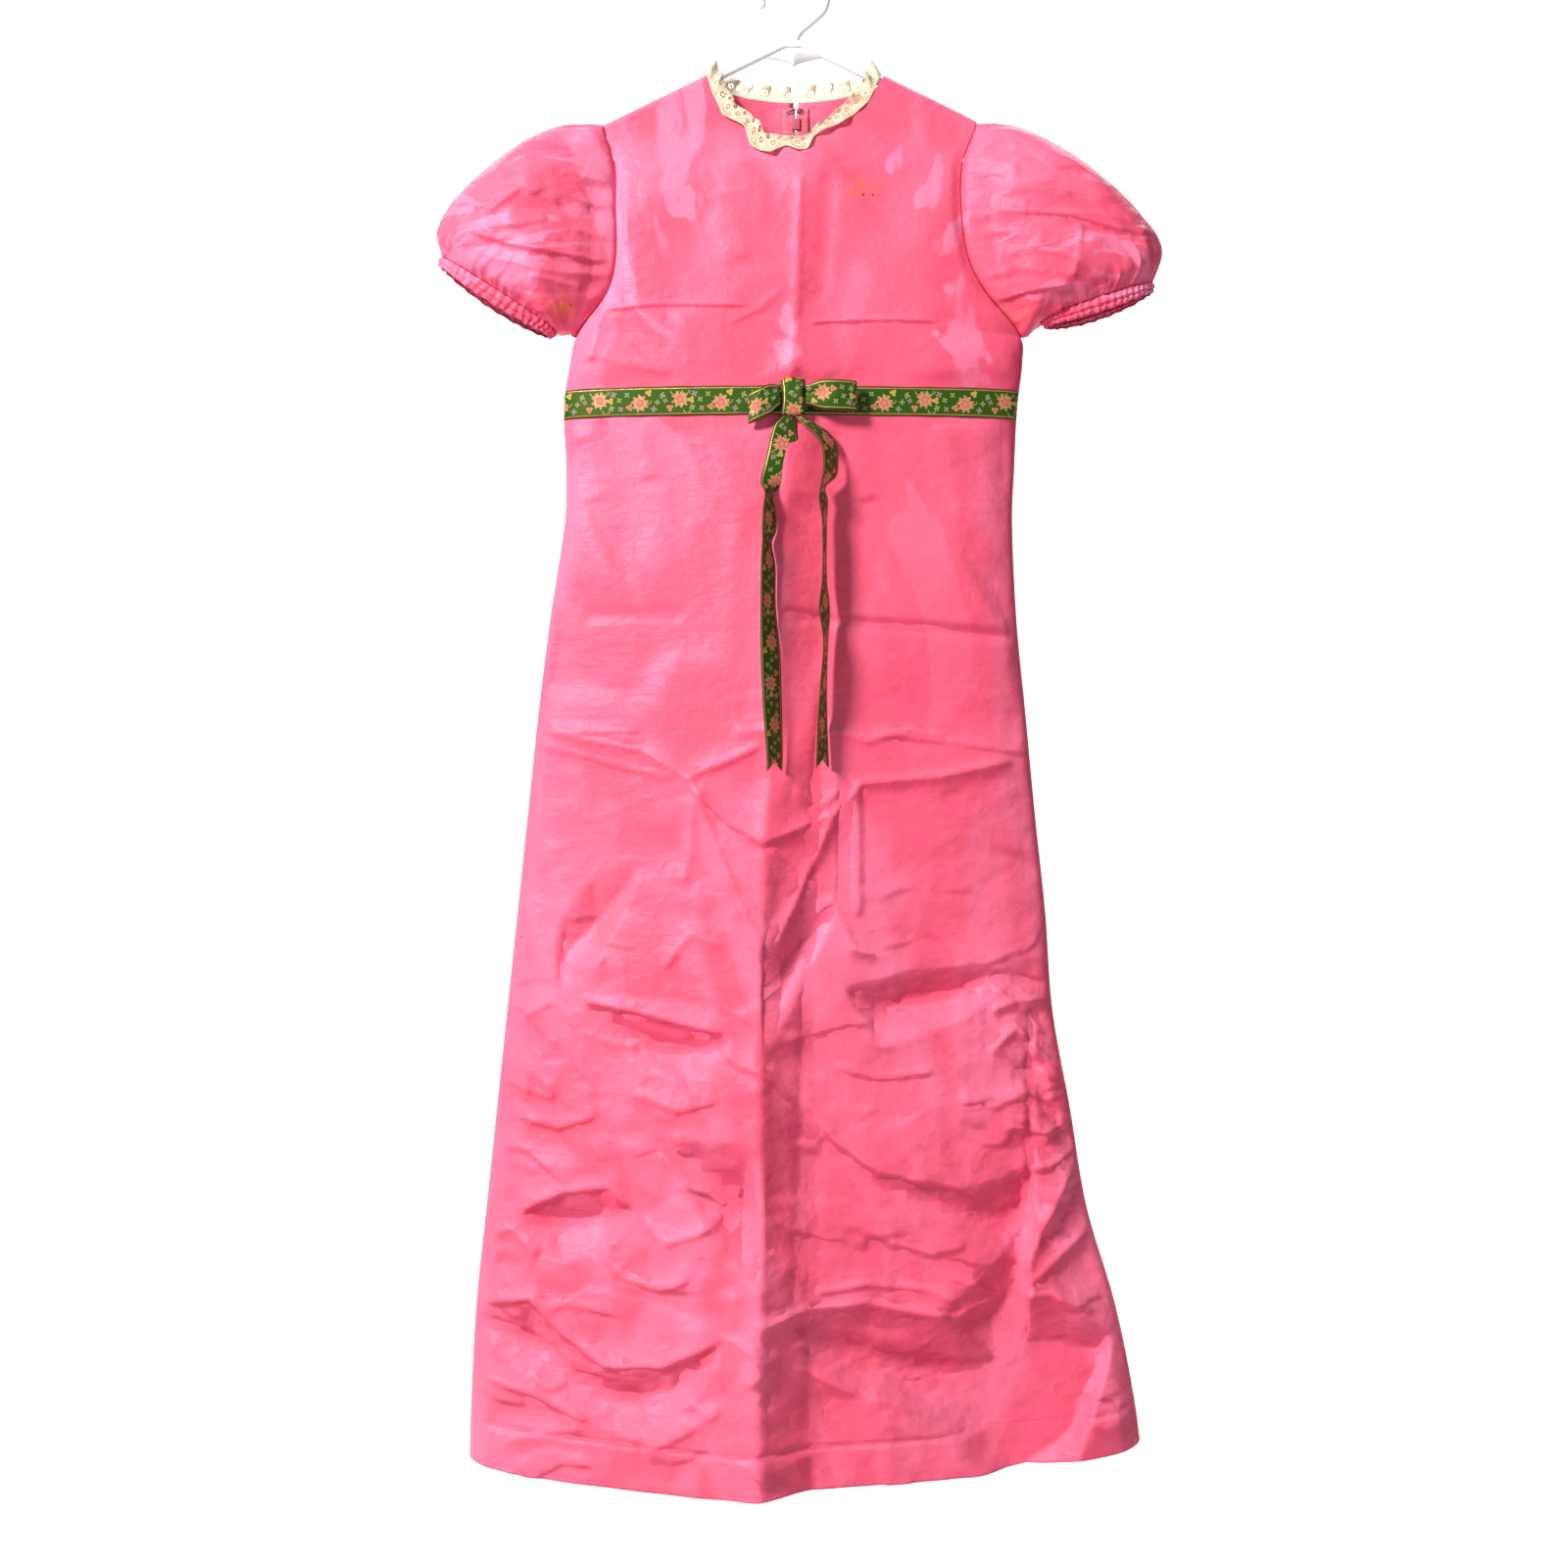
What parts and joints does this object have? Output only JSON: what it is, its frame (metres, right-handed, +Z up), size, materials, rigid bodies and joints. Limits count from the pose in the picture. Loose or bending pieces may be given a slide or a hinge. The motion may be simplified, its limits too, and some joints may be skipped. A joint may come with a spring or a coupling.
{
  "type": "empire waist dress on a hanger",
  "caption": "Ankle-length empire waist dress with puff sleeves, gathered cuffs, lace at the neck and a ribbon tied in a bow, hanging open and empty on a plain hanger.",
  "frame": {"origin": "inside top of the hanger's hook, where it rests on a rod", "axes": "+Z up along the hanging dress, -Y towards the front, -X towards the wearer's right"},
  "size_m": [0.7053, 0.1423, 1.4662],
  "materials": {
    "taffeta": "semi-gloss pink taffeta",
    "ribbon": "woven floral ribbon with metallic thread",
    "lace": "ivory cotton lace",
    "zip_tape": "matt woven tape",
    "zip_metal": "tarnished nickel",
    "dark_metal": "black enamelled wire",
    "hanger_plastic": "white moulded plastic"
  },
  "bodies": {
    "dress": {"bodice_front": "taffeta", "skirt_front": "taffeta", "bodice_back_right": "taffeta", "skirt_back_right": "taffeta", "bodice_back_left": "taffeta", "skirt_back_left": "taffeta", "sleeve_right": "taffeta", "sleeve_left": "taffeta", "cuff_right": "taffeta", "cuff_left": "taffeta", "neck_lace": "lace", "ribbon_front": "ribbon", "ribbon_back_right": "ribbon", "ribbon_back_left": "ribbon", "bow_knot": "ribbon", "bow_loop_left": "ribbon", "bow_loop_right": "ribbon", "bow_tail_right": "ribbon", "bow_tail_left": "ribbon", "zip_tape_right": "zip_tape", "zip_tape_left": "zip_tape", "zip_chain": "zip_metal", "zip_slider": "zip_metal", "neck_hook": "dark_metal", "neck_eye": "dark_metal", "hanger": "hanger_plastic"},
    "zip_tab": {"zip_pull": "zip_metal"}
  },
  "joints": [
    {"name": "zip_tab_swing", "type": "hinge", "parent": "dress", "child": "zip_tab", "pos_m": [0.002, 0.01566, -0.14611], "axis": [1, 0, 0], "range_deg": [0, 140]}
  ]
}
